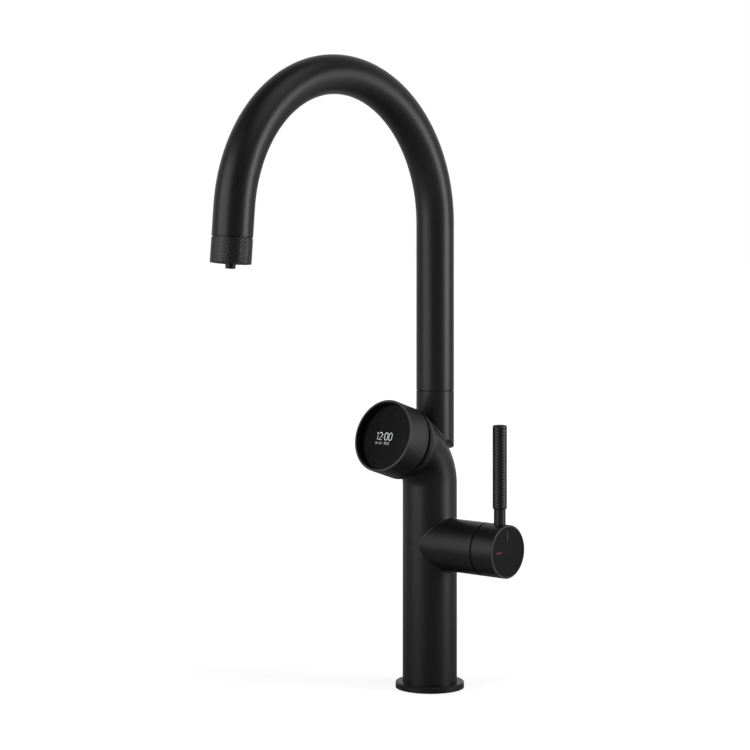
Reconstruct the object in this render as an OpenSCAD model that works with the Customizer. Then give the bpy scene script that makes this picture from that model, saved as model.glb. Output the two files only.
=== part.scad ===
// Deck-mounted kitchen mixer tap: column, swivelling arched spout, side lever
// and a round control knob with a display. Millimetres, +Z up, spout towards -Y.
// The origin is the centre of the base's underside, on the column's axis.

/* [Base] */
// Diameter of the flange at the foot of the column
flange_d = 58; // [56:1:66]
// Height of the flange
flange_h = 5; // [4:0.5:8]
// Bevel on the flange's top edge
flange_bevel = 0.6; // [0.3:0.1:1.2]
// Inside diameter of the thread that takes the hollow fixing shank
shank_thread_d = 26.4; // [24:0.1:28]
// Length of that thread
shank_thread_len = 18; // [12:1:20]
// Height of the threaded insert inside the column
insert_h = 24; // [23:1:32]
// Width of the rubber gasket under the flange
gasket_w = 3; // [2:0.5:3.5]
// Thickness of that gasket
gasket_h = 1.5; // [1:0.1:2.5]

/* [Column] */
// Outside diameter of the column
column_d = 46; // [45:0.5:48]
// Wall of the column and the elbow
column_wall = 3; // [2.5:0.1:3.2]
// Height of the grub screw that holds the column on its insert
column_screw_z = 14; // [10:0.5:18]

/* [Elbow] */
// Height at which the knob's axis crosses the column's axis
knob_cross_z = 198; // [194:1:206]
// Tilt of the knob's axis above the horizontal, in degrees
knob_tilt = 17.5; // [14:0.5:20]
// Radius of the elbow's centre line
elbow_r = 36; // [35:0.5:38]
// Distance along the knob's axis from the crossing to the knob's front rim
knob_reach = 62.9; // [62:0.1:68]
// Length of the cylindrical lip around the elbow's mouth
lip_len = 2.4; // [2:0.1:3]

/* [Spout] */
// Outside diameter of the spout tube and of its stub on the column
spout_d = 32; // [30:0.5:34]
// Wall of the spout tube
spout_wall = 2; // [1.5:0.1:2.4]
// Wall of the fixed stub
stub_wall = 3; // [2.6:0.1:3.4]
// Height of the stub's slanted foot above the crossing, on the stub's axis
stub_cut_rise = 10.4; // [9.5:0.1:11]
// Fall of that foot towards the rear, in degrees
stub_cut_tilt = 27; // [25:0.5:29]
// Height of the swivel seam above the crossing
seam_rise = 53; // [52.5:0.5:58]
// Height of the swivel seam's gap
seam_gap = 1.2; // [0.8:0.1:1.5]
// Height at which the spout's arch starts
arch_z = 393; // [340:1:420]
// Radius of the arch's centre line
arch_r = 119; // [100:1:130]
// Angle that the arch turns through
arch_turn = 175; // [160:1:180]
// Straight length after the arch
tail_len = 22.6; // [18:0.1:30]
// Swivel of the spout to each side, in degrees
swivel_limit = 75; // [30:5:90]

/* [Swivel] */
// Diameter of the nipple that turns in the stub
nipple_d = 20; // [19:0.5:20.5]
// Bore of the nipple
nipple_bore_d = 13; // [10:0.5:13.5]
// Depth of the nipple's engagement in the stub
nipple_depth = 29; // [28:0.5:29]
// Section of the nipple's sealing rings
seal_section = 1.84; // [1.5:0.02:2]
// Diameter of the grub screw that stops and holds the spout
stop_screw_d = 4; // [3:0.5:5]
// Height of that screw below the seam
stop_screw_drop = 13.5; // [13:0.1:14]
// Thickness of the socket's floor
socket_floor = 7; // [6.5:0.1:7.2]

/* [Outlet] */
// Length of the knurled collar
collar_len = 19.9; // [18:0.1:24]
// Gap between the spout tube and the collar
collar_gap = 0.8; // [0.5:0.1:1.2]
// Number of knurl diamonds around the collar
collar_knurls = 36; // [24:1:44]
// Height of one knurl diamond
knurl_h = 2.6; // [2:0.1:4]
// Depth of the knurl
knurl_depth = 0.45; // [0.2:0.05:0.7]
// Diameter of the drinking-water nozzle
nozzle_d = 8; // [7:0.5:9]
// How far the nozzle stands out below the collar
nozzle_out = 4; // [2:0.5:8]
// Diameter of the water tubes inside the tap
inner_tube_d = 6; // [5:0.5:6.5]
// Wall of those tubes
inner_tube_wall = 1; // [0.5:0.1:1.2]

/* [Mixer branch] */
// Height of the branch's axis
branch_z = 122.5; // [115:0.5:128]
// Outside diameter of the branch and of the handle's cap
branch_d = 44; // [43:0.5:45]
// Wall of the branch
branch_wall = 3; // [2.6:0.1:3.2]
// Distance from the column's axis to the branch's end
branch_len = 61.4; // [61:0.2:70]
// Gap between the branch and the handle's cap
cap_gap = 1.3; // [1:0.1:2]
// Length of the handle's cap
cap_len = 21.7; // [21:0.1:24]
// Width of the cap's rim around the index plate
cap_rim = 1.5; // [1:0.1:2.5]
// Depth of the recess that holds the index plate
index_depth = 1.6; // [1.2:0.1:2]
// Diameter of the mixing cartridge
cartridge_d = 28; // [26:0.5:29]
// Diameter of the ceramic discs
disc_d = 22; // [20:0.5:23]
// Thickness of the fixed ceramic disc
fixed_disc_h = 4; // [3:0.5:5]
// Thickness of the moving ceramic disc
moving_disc_h = 3.5; // [3:0.5:4]
// Diameter of the cartridge's stem
stem_d = 9; // [8:0.5:10]
// Width across the flats of the stem's square end
stem_square = 7; // [5.5:0.5:7]
// Inside diameter of the supply inlets' threads
inlet_thread_d = 9; // [8:0.5:9.5]
// Length of those threads
inlet_thread_len = 9; // [7:0.5:12]

/* [Lever] */
// Distance of the lever's axis from the cap's face
lever_setback = 8.8; // [8:0.1:11]
// Diameter of the lever's neck
neck_d = 9.8; // [9:0.1:10]
// Height of the neck above the branch's axis
neck_top = 34.2; // [30:0.2:45]
// Diameter of the knurled grip
grip_d = 12; // [11.5:0.1:13]
// Length of the grip
grip_len = 69.3; // [50:0.1:90]
// Number of knurl diamonds around the grip
grip_knurls = 12; // [10:1:16]

/* [Knob] */
// Diameter of the knob and of the elbow's mouth
knob_d = 61; // [60:0.5:62]
// Length of the knob's ring
knob_len = 23.6; // [23:0.1:25]
// Gap between the ring and the elbow's mouth
knob_gap = 1.3; // [1.2:0.1:2]
// Width of the ring's front rim
knob_lip = 1.3; // [1:0.1:1.6]
// Depth of the glass behind the ring's front rim
glass_depth = 6; // [4:0.5:6.5]
// Thickness of the glass
glass_h = 1.5; // [1:0.1:1.8]
// Travel of the knob when it is pressed
press_travel = 0.8; // [0.4:0.1:0.9]
// Diameter of the guide spigot behind the display
spigot_d = 14; // [12:0.5:14.5]
// Turns of the knob's return spring
spring_turns = 5; // [4:1:7]
// Wire of that spring
spring_wire = 0.8; // [0.6:0.1:0.9]

/* [Clearances] */
// Radial gap between pieces that are pressed or screwed together
fit_gap = 0.1; // [0.05:0.01:0.15]
// Radial gap of a turning or sliding fit
run_gap = 0.08; // [0.05:0.01:0.1]
// Gap between faces that turn past each other
face_gap = 0.1; // [0.05:0.05:0.2]
// Gap around loose pieces
loose_gap = 0.3; // [0.2:0.05:0.4]

/* [Hidden] */
$fn = 96;

black = [0.09, 0.09, 0.095];
dark_glass = [0.02, 0.02, 0.025];
brass = [0.78, 0.62, 0.32];
steel = [0.72, 0.73, 0.75];
copper = [0.78, 0.46, 0.32];
rubber = [0.05, 0.05, 0.05];
white_plastic = [0.9, 0.9, 0.88];
grey_plastic = [0.35, 0.36, 0.38];
ceramic = [0.93, 0.9, 0.84];
board_green = [0.05, 0.3, 0.15];

// Length that one solid reaches into another where they are joined or cut
reach = 1;
// Step by which a straight end is thinner than the bend that it starts in
end_inset = 0.02;
column_r = column_d / 2;
column_bore_r = column_r - column_wall;
flange_r = flange_d / 2;
knob_r = knob_d / 2;

// Elbow: a plain bend, and a flare that widens it to the knob's mouth
elbow_turn = 90 - knob_tilt;
elbow_tangent = elbow_r * tan(elbow_turn / 2);
elbow_z = knob_cross_z - elbow_tangent;
mouth_depth = knob_len + knob_gap;
collar_seat = 4.1;
carrier_ledge = 2.5;
carrier_seat_r = knob_r - 3.5;
mouth_len = knob_reach - mouth_depth - elbow_tangent;
bend_end_depth = mouth_depth + mouth_len;
seat_end = mouth_depth + collar_seat;
seat_ledge_r = carrier_seat_r - carrier_ledge;
flare_in = 0.25;
flare_root_depth = knob_reach - 8;
flare_root_r = 15;
flare_knee_depth = knob_reach - 16;
flare_knee_r = column_r - 0.5;
bore_slope = (seat_ledge_r - column_bore_r) / (bend_end_depth - seat_end + flare_in);

// Spout
spout_r = spout_d / 2;
spout_y = column_r - spout_r;
stub_cut_z = knob_cross_z + stub_cut_rise;
seam_z = knob_cross_z + seam_rise;
spout_bore_r = spout_r - spout_wall;
stub_bore_r = spout_r - stub_wall;
stub_top = seam_z - seam_gap / 2;
tube_foot = seam_z + seam_gap / 2;

// Swivel
nipple_r = nipple_d / 2;
nipple_foot = stub_top - nipple_depth;
nipple_head = 18;
washer_inset = 2;
socket_r = stub_bore_r - fit_gap;
socket_bore_r = nipple_r + run_gap;
nipple_foot_gap = 1;
socket_foot = nipple_foot - nipple_foot_gap - socket_floor;
stub_floor_z = socket_foot - 0.5;
seal_groove_h = seal_section + 0.5;
seal_groove_r = nipple_r - seal_section;
glide_h = 6;
glide_groove_r = nipple_r - 0.8;
stop_z = stub_top - stop_screw_drop;
stop_r = stop_screw_d / 2;
stop_groove_r = nipple_r - 1.4;
stop_groove_h = stop_screw_d + 1;
stop_angle = swivel_limit + asin(stop_r / stop_groove_r) + 1;

// Water tubes
tube_r = inner_tube_d / 2;
tube_bore_r = tube_r - inner_tube_wall;
tube_seat = 2.5;
tube_seat_r = tube_r + fit_gap;
port_r = 2.2;
mixed_port_r = socket_r - tube_seat_r - 1.3;
mixed_port = mixed_port_r * [cos(45), -sin(45)];
tube_hole_gap = 0.5;
tube_hole_len = 16;
tube_sides = 12;
tube_bend_steps = 10;
tube_bend_h = 34;

// Valve body and its ports
branch_r = branch_d / 2;
branch_bore_r = branch_r - branch_wall;
valve_r = branch_bore_r - fit_gap;
valve_start = -3.5;
inlet_x = 2;
inlet_y = 7.2;
inlet_boss_r = 6.4;
inlet_drop = 22;
inlet_r = inlet_thread_d / 2;
thread_runout = 1;
outlet_x = 8.5;
outlet_rise = 7.6;
passage_r = 2.6;
filtered_x = -8.6;
filtered_len = 14;
filtered_drop = 56;
filtered_z = branch_z - filtered_drop;

// Cartridge, measured along the branch's axis
cartridge_r = cartridge_d / 2;
seat_in = 30.4;
seat_floor = branch_len - seat_in;
seat_depth = 5;
port_seal_h = 1;
disc_r = disc_d / 2;
disc_cavity_r = disc_r + 0.4;
fixed_disc_x = seat_floor + port_seal_h;
moving_disc_x = fixed_disc_x + fixed_disc_h + face_gap / 2;
driver_x = moving_disc_x + moving_disc_h + face_gap / 2;
driver_h = 2.4;
cavity_end = driver_x + driver_h + 2;
housing_shoulder = cavity_end + 2;
neck_r = 8;
neck_len = 10;
nut_h = 6;
stem_r = stem_d / 2;
stem_bore_r = stem_r + run_gap;

// Handle cap, measured along the branch's axis
cap_x = branch_len + cap_gap;
face_x = cap_x + cap_len;
plate_x = face_x - index_depth;
cap_wall = 2.5;
cap_web = 3.4;
cap_bore_r = branch_r - cap_wall;
cap_floor = plate_x - cap_web;
hub_r = 8;
hub_start = cap_x + 3.3;
stem_end = cap_floor - 3.4;
plate_r = branch_r - cap_rim;
plate_drop = 0.5;
plate_h = index_depth - plate_drop;
handle_screw_r = 2;
handle_head_r = 3.8;
handle_head_h = 2.4;
handle_screw_len = 12;
lever_x = face_x - lever_setback;
mark_len = 7;
mark_w = 1.1;
mark_h = 0.3;
cold_mark_r = 13.1;
hot_mark_r = 11.4;

// Lever, measured up from the branch's axis
neck_rod_r = neck_d / 2;
neck_foot = cap_bore_r + 0.4;
stud_r = 2.45;
stud_foot = stem_square / 2 + 0.5;
core_r = 3;
grip_r = grip_d / 2;
grip_rim = 1.2;
core_top = neck_top + grip_len - 4;

// Knob, measured inwards from its front rim
recess_r = knob_r - knob_lip;
land_r = knob_r - 3;
skirt_r = knob_r - 2;
flange_seat = glass_depth + glass_h;
flange_rear = flange_seat + 1.5;
land_start = flange_rear + loose_gap;
land_end = land_start + 5.4;
retainer_start = land_end + loose_gap;
retainer_h = 1;
plunger_r = knob_r - 5.1;
plunger_end = retainer_start + retainer_h + 1;
display_cavity_r = plunger_r - 3.4;
display_floor = flange_seat + 4;
display_floor_h = 2;
spring_top = display_floor + display_floor_h;
spigot_r = spigot_d / 2;
spigot_end = mouth_depth + 2.1;
carrier_r = carrier_seat_r - fit_gap;
carrier_face = mouth_depth + 0.5;
carrier_rear = mouth_depth + collar_seat - face_gap / 2;
sleeve_r = skirt_r - 0.6;
sleeve_start = mouth_depth - 3.6;
boss_r = spigot_r + 2.2;
boss_start = spring_top + 5;
cup_r = spigot_r + 2.5;
switch_h = 3.6;
switch_w = 6;
switch_start = spigot_end + 1.4;
cup_floor = switch_start + switch_h;
cup_end = cup_floor + 2;
key_w = 2;
key_h = 1;
board_h = 1.6;
board_r = plunger_r + 0.1;
board_bore_r = boss_r + 2.8;
board_front = carrier_face - board_h;
board_screw_r = 0.95;
board_head_r = 1.9;
board_head_h = 1.3;
board_screw_ring = plunger_r - 5;
spring_r = boss_r + spring_wire / 2 + 0.8;
magnet_start = retainer_start + retainer_h + 1.2;
magnet_h = 2.4;

// Places a child at a distance along the branch's axis, with +Z along it
module on_branch(x) {
    translate([x, 0, branch_z]) rotate([0, 90, 0]) children();
}

// Places a child on the knob's axis, with +Z towards the front and +Y up
module on_knob(depth) {
    translate([0, 0, knob_cross_z])
        rotate([90 - knob_tilt, 0, 0])
            translate([0, 0, knob_reach - depth])
                children();
}

// Places a child at the end of the arch, with +Z along the tail
module on_tail(along) {
    translate([0, spout_y - arch_r, arch_z])
        rotate([90, 0, 90])
            rotate([0, 0, arch_turn])
                translate([arch_r, 0, 0])
                    rotate([-90, 0, 0])
                        translate([0, 0, along])
                            children();
}

// Places a child on the spout's swivel axis at a height
module on_swivel(z) {
    translate([0, spout_y, z]) children();
}

module ring(outer_r, inner_r, h) {
    difference() {
        cylinder(r = outer_r, h = h);
        translate([0, 0, -reach]) cylinder(r = inner_r, h = h + 2 * reach);
    }
}

module torus(ring_r, section_r) {
    rotate_extrude() translate([ring_r, 0]) circle(r = section_r, $fn = 32);
}

// Closed solid through rings of points that all have the same count. Each quad of its side
// is split along the same diagonal, or with diamonds along the one and the other in turn.
module skin(rings, diamonds = false) {
    n = len(rings[0]);
    last = len(rings) - 1;
    points = [for (r = rings) each r];
    sides = [
        for (i = [0:last - 1], j = [0:n - 1])
            let (a = i * n + j, b = i * n + (j + 1) % n)
                each diamonds && (i + j) % 2 == 0
                    ? [[a, a + n, b], [b, a + n, b + n]]
                    : [[a, a + n, b + n], [a, b + n, b]]
    ];
    foot = [for (j = [0:n - 1]) j];
    head = [for (j = [n - 1:-1:0]) last * n + j];
    polyhedron(points, concat([foot], sides, [head]), convexity = 8);
}

// Points of a circle about c, in the plane of the unit vectors u and v
function circle_at(c, u, v, r, n) =
    [for (j = [0:n - 1]) c + r * (cos(360 * j / n) * u + sin(360 * j / n) * v)];

// Straight leg, arch and tail of the spout with a given radius
module arch_path(r, foot_z, tail) {
    on_swivel(foot_z) cylinder(r = r, h = arch_z - foot_z);
    translate([0, spout_y - arch_r, arch_z])
        rotate([90, 0, 90])
            rotate_extrude(angle = arch_turn)
                translate([arch_r, 0])
                    circle(r = r);
    on_tail(-reach) cylinder(r = r - end_inset, h = tail + reach);
}

module arch_pipe(outer_r, inner_r, foot_z, tail) {
    difference() {
        arch_path(outer_r, foot_z, tail);
        arch_path(inner_r, foot_z - reach, tail + reach);
    }
}

// Bar of diamond knurl: each diamond is a low pyramid between two crossing grooves
module knurl_bar(r, depth, around, diamond_h, h) {
    n = 2 * around;
    levels = 2 * round(h / diamond_h);
    skin([
        for (k = [0:levels]) [
            for (j = [0:n - 1])
                let (a = 360 * j / n, p = r - depth * ((j + k) % 2))
                    [p * cos(a), p * sin(a), h * k / levels]
        ]
    ], diamonds = true);
}

// Tube that shifts sideways from one point to a higher one in an even S-bend
function s_point(from, to, z) =
    let (
        middle = (from[2] + to[2]) / 2 + tube_bend_h / 4,
        t = min(1, max(0, (z - middle) / tube_bend_h + 0.5)),
        s = t * t * (3 - 2 * t)
    )
        [from[0] + (to[0] - from[0]) * s, from[1] + (to[1] - from[1]) * s, z];

function s_levels(from, to) =
    let (middle = (from[2] + to[2]) / 2 + tube_bend_h / 4)
        concat(
            [from[2]],
            [for (i = [0:tube_bend_steps]) middle + tube_bend_h * (i / tube_bend_steps - 0.5)],
            [to[2]]
        );

module s_tube(from, to, r) {
    skin([for (z = s_levels(from, to)) circle_at(s_point(from, to, z), [1, 0, 0], [0, 1, 0], r, tube_sides)]);
}

module base_flange() {
    color(black)
        difference() {
            rotate_extrude()
                polygon([
                    [column_bore_r, 0], [flange_r, 0], [flange_r, flange_h - flange_bevel],
                    [flange_r - flange_bevel, flange_h], [column_bore_r, flange_h]
                ]);
            translate([0, 0, -reach])
                ring(column_r + gasket_w + fit_gap, column_r - fit_gap, reach + gasket_h);
        }
}

module base_gasket() {
    color(rubber) ring(column_r + gasket_w, column_r, gasket_h);
}

module base_insert() {
    color(brass)
        difference() {
            cylinder(r = column_bore_r - fit_gap, h = insert_h);
            translate([0, 0, -reach]) cylinder(d = shank_thread_d, h = insert_h + 2 * reach);
            translate([0, 0, shank_thread_len])
                cylinder(d = shank_thread_d + 3, h = insert_h);
            translate([0, column_bore_r - 2, column_screw_z])
                rotate([-90, 0, 0])
                    cylinder(r = stop_r + fit_gap, h = 3);
        }
}

// Headless screw along +Z with a hexagon socket in its top
module grub_screw(r, len) {
    difference() {
        cylinder(r = r, h = len);
        translate([0, 0, len - 2]) cylinder(r = r * 0.58, h = 3, $fn = 6);
    }
}

module column_screw() {
    color(steel)
        translate([0, column_bore_r - 1.7, column_screw_z])
            rotate([-90, 0, 0])
                grub_screw(stop_r, column_wall + 1.2);
}

// Elbow's bend between the column and the knob's axis, at a given radius
module bend(r) {
    translate([0, -elbow_r, elbow_z])
        rotate([90, 0, 90])
            rotate_extrude(angle = elbow_turn)
                translate([elbow_r, 0])
                    circle(r = r);
}

// Stub for the spout, its foot cut off at a slant that lets it overhang the elbow's back
module stub_outside() {
    difference() {
        on_swivel(stub_cut_z - spout_r) cylinder(r = spout_r, h = stub_top - stub_cut_z + spout_r);
        on_swivel(stub_cut_z)
            rotate([-stub_cut_tilt, 0, 0])
                translate([-spout_d, -spout_d, -2 * spout_d])
                    cube(2 * spout_d);
    }
}

module column_outside() {
    translate([0, 0, flange_h]) cylinder(r = column_r, h = elbow_z - flange_h);
    bend(column_r);
    on_knob(0)
        rotate_extrude()
            polygon([
                [0, -flare_root_depth], [flare_root_r, -flare_root_depth],
                [flare_knee_r, -flare_knee_depth],
                [knob_r, -mouth_depth - lip_len], [knob_r, -mouth_depth], [0, -mouth_depth]
            ]);
    stub_outside();
    on_branch(0) cylinder(r = branch_r, h = branch_len);
}

module column_inside() {
    translate([0, 0, flange_h - reach])
        cylinder(r = column_bore_r, h = elbow_z - flange_h + reach);
    bend(column_bore_r);
    on_knob(0)
        rotate_extrude()
            polygon([
                [0, -bend_end_depth - reach],
                [column_bore_r - bore_slope * (reach - flare_in), -bend_end_depth - reach],
                [seat_ledge_r, -seat_end], [carrier_seat_r, -seat_end],
                [carrier_seat_r, reach - mouth_depth], [0, reach - mouth_depth]
            ]);
    on_swivel(stub_floor_z) cylinder(r = stub_bore_r, h = stub_top - stub_floor_z + reach);
    for (to = [mixed_to, filtered_to])
        translate([to[0], to[1], stub_floor_z - tube_hole_len])
            cylinder(r = tube_r + tube_hole_gap, h = tube_hole_len + reach);
    on_branch(0) cylinder(r = branch_bore_r, h = branch_len + reach);
    translate([0, column_r - column_wall - reach, column_screw_z])
        rotate([-90, 0, 0])
            cylinder(r = stop_r + fit_gap, h = column_wall + 2 * reach);
    on_swivel(stop_z)
        translate([0, stub_bore_r - reach, 0])
            rotate([-90, 0, 0])
                cylinder(r = stop_r + fit_gap, h = stub_wall + 2 * reach);
}

module column_body() {
    color(black)
        difference() {
            column_outside();
            column_inside();
        }
}

module valve_body() {
    color(brass)
        difference() {
            union() {
                on_branch(valve_start) cylinder(r = valve_r, h = seat_floor + seat_depth - valve_start);
                for (side = [-1, 1])
                    translate([inlet_x, side * inlet_y, branch_z - inlet_drop])
                        cylinder(r = inlet_boss_r, h = inlet_drop);
            }
            on_branch(seat_floor) cylinder(r = cartridge_r + fit_gap, h = seat_depth + reach);
            for (side = [-1, 1]) {
                translate([inlet_x, side * inlet_y, branch_z - inlet_drop - reach])
                    cylinder(r = inlet_r, h = inlet_thread_len + thread_runout + reach);
                translate([inlet_x, side * inlet_y, branch_z - inlet_drop])
                    cylinder(r = passage_r, h = inlet_drop + passage_r / 2);
                translate([inlet_x, side * inlet_y, branch_z])
                    rotate([0, 90, 0])
                        cylinder(r = passage_r, h = seat_floor - inlet_x + reach);
            }
            translate([outlet_x, 0, branch_z + outlet_rise])
                rotate([0, 90, 0])
                    cylinder(r = passage_r, h = seat_floor - outlet_x + reach);
            translate([outlet_x, 0, branch_z + outlet_rise])
                cylinder(r = passage_r, h = valve_r);
            translate([outlet_x, 0, branch_z + valve_r - 2 * tube_seat])
                cylinder(r = tube_seat_r, h = 3 * tube_seat);
        }
}

// Centres of the cartridge's three ports, as height and width from the branch's axis
port_places = [[0, -inlet_y], [0, inlet_y], [outlet_rise, 0]];

module port_seals() {
    color(rubber)
        for (p = port_places)
            on_branch(seat_floor)
                translate([-p[0], p[1], 0])
                    ring(passage_r + 1, passage_r + 0.1, port_seal_h);
}

module fixed_disc() {
    color(ceramic)
        on_branch(fixed_disc_x)
            difference() {
                cylinder(r = disc_r, h = fixed_disc_h);
                for (p = port_places)
                    translate([-p[0], p[1], -reach])
                        cylinder(r = passage_r - 0.2, h = fixed_disc_h + 2 * reach);
            }
}

module cartridge_housing() {
    color(white_plastic)
        on_branch(0)
            difference() {
                union() {
                    translate([0, 0, seat_floor + fit_gap])
                        cylinder(r = cartridge_r, h = housing_shoulder - seat_floor - fit_gap);
                    cylinder(r = neck_r, h = housing_shoulder + neck_len);
                }
                translate([0, 0, -reach]) cylinder(r = disc_cavity_r, h = cavity_end + reach);
                cylinder(r = stem_bore_r, h = housing_shoulder + neck_len + reach);
            }
}

module cartridge_nut() {
    color(brass)
        on_branch(housing_shoulder + face_gap)
            difference() {
                ring(branch_bore_r - fit_gap, neck_r + 2 * fit_gap, nut_h);
                for (turn = [0, 90])
                    rotate([0, 0, turn])
                        translate([-branch_bore_r, -1.5, nut_h - 2])
                            cube([2 * branch_bore_r, 3, 2 + reach]);
            }
}

module cap_glide_ring() {
    lip = branch_bore_r - fit_gap;
    guide = cap_bore_r - run_gap;
    color(rubber)
        on_branch(0)
            rotate_extrude()
                polygon([
                    [lip - 2, branch_len - 6], [lip, branch_len - 6], [lip, branch_len],
                    [branch_r - 1.1, branch_len], [branch_r - 1.1, cap_x - face_gap],
                    [guide, cap_x - face_gap], [guide, cap_x + 3], [lip - 2, cap_x + 3]
                ]);
}

mixed_from = [outlet_x, 0, branch_z + valve_r - 2 * tube_seat + fit_gap];
mixed_to = [mixed_port[0], spout_y + mixed_port[1], socket_foot + tube_seat - fit_gap];
filtered_from = [filtered_x, 0, filtered_z + filtered_len - tube_seat];
filtered_to = [0, spout_y, socket_foot + tube_seat - fit_gap];

module bent_tube(from, to) {
    difference() {
        s_tube(from, to, tube_r);
        s_tube(from - [0, 0, reach], to + [0, 0, reach], tube_bore_r);
    }
}

module mixed_water_tube() {
    color(copper) bent_tube(mixed_from, mixed_to);
}

module filtered_water_tube() {
    color(copper) bent_tube(filtered_from, filtered_to);
}

module filtered_inlet() {
    color(brass)
        translate([filtered_x, 0, filtered_z])
            difference() {
                cylinder(r = inlet_boss_r - 0.5, h = filtered_len);
                translate([0, 0, -reach]) cylinder(r = inlet_r, h = inlet_thread_len + thread_runout + reach);
                cylinder(r = port_r, h = filtered_len + reach);
                translate([0, 0, filtered_len - tube_seat - fit_gap])
                    cylinder(r = tube_seat_r, h = tube_seat + reach);
            }
}

module spout_socket() {
    color(brass)
        on_swivel(0)
            difference() {
                translate([0, 0, socket_foot]) cylinder(r = socket_r, h = stub_top - socket_foot);
                translate([0, 0, socket_foot + socket_floor])
                    cylinder(r = socket_bore_r, h = stub_top - socket_foot);
                translate([0, 0, socket_foot + tube_seat + 1])
                    cylinder(r = tube_r + run_gap, h = socket_floor);
                for (port = [[0, 0], mixed_port])
                    translate([port[0], port[1], socket_foot - reach]) {
                        cylinder(r = tube_seat_r, h = tube_seat + reach);
                        cylinder(r = port_r, h = socket_floor + 2 * reach);
                    }
                translate([0, socket_bore_r - reach, stop_z])
                    rotate([-90, 0, 0])
                        cylinder(r = stop_r + fit_gap, h = socket_r);
            }
}

module swivel_washer() {
    color(rubber)
        on_swivel(stub_top)
            ring(spout_r - washer_inset, nipple_r + 2 * run_gap, seam_gap - face_gap / 2);
}

module spout_stop_screw() {
    color(steel)
        on_swivel(stop_z)
            translate([0, stop_groove_r + loose_gap, 0])
                rotate([-90, 0, 0])
                    grub_screw(stop_r, spout_r - stop_groove_r - 2 * loose_gap);
}

// Heights of the nipple's seal and glide grooves above its foot
seal_levels = [3, 9];
glide_levels = [nipple_depth - glide_h - 4];

module spout_nipple() {
    color(brass)
        on_swivel(0)
            difference() {
                union() {
                    translate([0, 0, nipple_foot]) cylinder(r = nipple_r, h = tube_foot - nipple_foot);
                    translate([0, 0, tube_foot]) cylinder(r = spout_bore_r - fit_gap, h = nipple_head);
                }
                translate([0, 0, nipple_foot - reach])
                    cylinder(d = nipple_bore_d, h = nipple_depth + nipple_head + 4 * reach);
                for (h = seal_levels)
                    translate([0, 0, nipple_foot + h])
                        ring(nipple_r + reach, seal_groove_r, seal_groove_h);
                for (h = glide_levels)
                    translate([0, 0, nipple_foot + h])
                        ring(nipple_r + reach, glide_groove_r, glide_h);
                translate([0, 0, stop_z - stop_groove_h / 2])
                    rotate([0, 0, 90 - stop_angle])
                        rotate_extrude(angle = 2 * stop_angle)
                            translate([stop_groove_r, 0])
                                square([nipple_r - stop_groove_r + reach, stop_groove_h]);
            }
}

module nipple_seals() {
    color(rubber)
        for (h = seal_levels)
            on_swivel(nipple_foot + h + seal_groove_h / 2)
                torus(seal_groove_r + seal_section / 2, seal_section / 2);
}

module nipple_glide_rings() {
    color(white_plastic)
        for (h = glide_levels)
            on_swivel(nipple_foot + h + face_gap)
                ring(nipple_r + run_gap / 2, glide_groove_r, glide_h - 2 * face_gap);
}

module spout_tube() {
    color(black) arch_pipe(spout_r, spout_bore_r, tube_foot, tail_len);
}

// Distances along the tail of the adapter, the collar and the nozzle
collar_start = tail_len + collar_gap;
adapter_in = 12;
adapter_thread = 6.4;
insert_start = 8.4;
lip_h = 1.5;
lip_r = spout_r - 3.1;
aerator_r = spout_r - 1.8;
aerator_wall = 1.9;
aerator_h = collar_len - lip_h - insert_start;
hub_wall = 1.6;
nozzle_r = nozzle_d / 2;
nozzle_start = collar_start + 3;
nozzle_socket = 6;

module inner_water_tube() {
    foot = socket_foot + tube_seat + 1.6;
    tail = nozzle_start + nozzle_socket - fit_gap;
    color(steel) arch_pipe(tube_r, tube_bore_r, foot, tail);
}

module outlet_adapter() {
    in_tube = spout_bore_r - fit_gap;
    bore = in_tube - 2.9;
    color(brass)
        on_tail(0)
            rotate_extrude()
                polygon([
                    [bore, tail_len - adapter_in], [in_tube, tail_len - adapter_in],
                    [in_tube, tail_len], [spout_r - 0.8, tail_len],
                    [spout_r - 0.8, collar_start - face_gap / 2],
                    [in_tube - 0.3, collar_start - face_gap / 2],
                    [in_tube - 0.3, collar_start + adapter_thread],
                    [bore, collar_start + adapter_thread]
                ]);
}

module aerator_collar() {
    color(black)
        on_tail(collar_start)
            difference() {
                knurl_bar(spout_r, knurl_depth, collar_knurls, knurl_h, collar_len);
                translate([0, 0, -reach])
                    cylinder(r = spout_bore_r - fit_gap - 0.2, h = insert_start + reach);
                translate([0, 0, insert_start - 1])
                    cylinder(r = aerator_r + fit_gap, h = collar_len - lip_h - insert_start + 1);
                cylinder(r = lip_r, h = collar_len + reach);
            }
}

module aerator_gasket() {
    color(rubber)
        on_tail(collar_start + adapter_thread + face_gap)
            ring(spout_bore_r - 0.6, spout_bore_r - 3, insert_start - adapter_thread - 2 * face_gap);
}

module aerator_insert() {
    ribs = 6;
    rib_w = 1.2;
    color(white_plastic)
        on_tail(collar_start + insert_start)
            union() {
                ring(aerator_r, aerator_r - aerator_wall, aerator_h - face_gap);
                ring(nozzle_r + run_gap + hub_wall, nozzle_r + run_gap, aerator_h - face_gap);
                for (i = [0:ribs - 1])
                    rotate([0, 0, 360 * i / ribs])
                        translate([nozzle_r + hub_wall - 0.5, -rib_w / 2, 0])
                            cube([aerator_r - aerator_wall - nozzle_r - hub_wall + 1, rib_w, aerator_h - 2]);
            }
}

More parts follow.
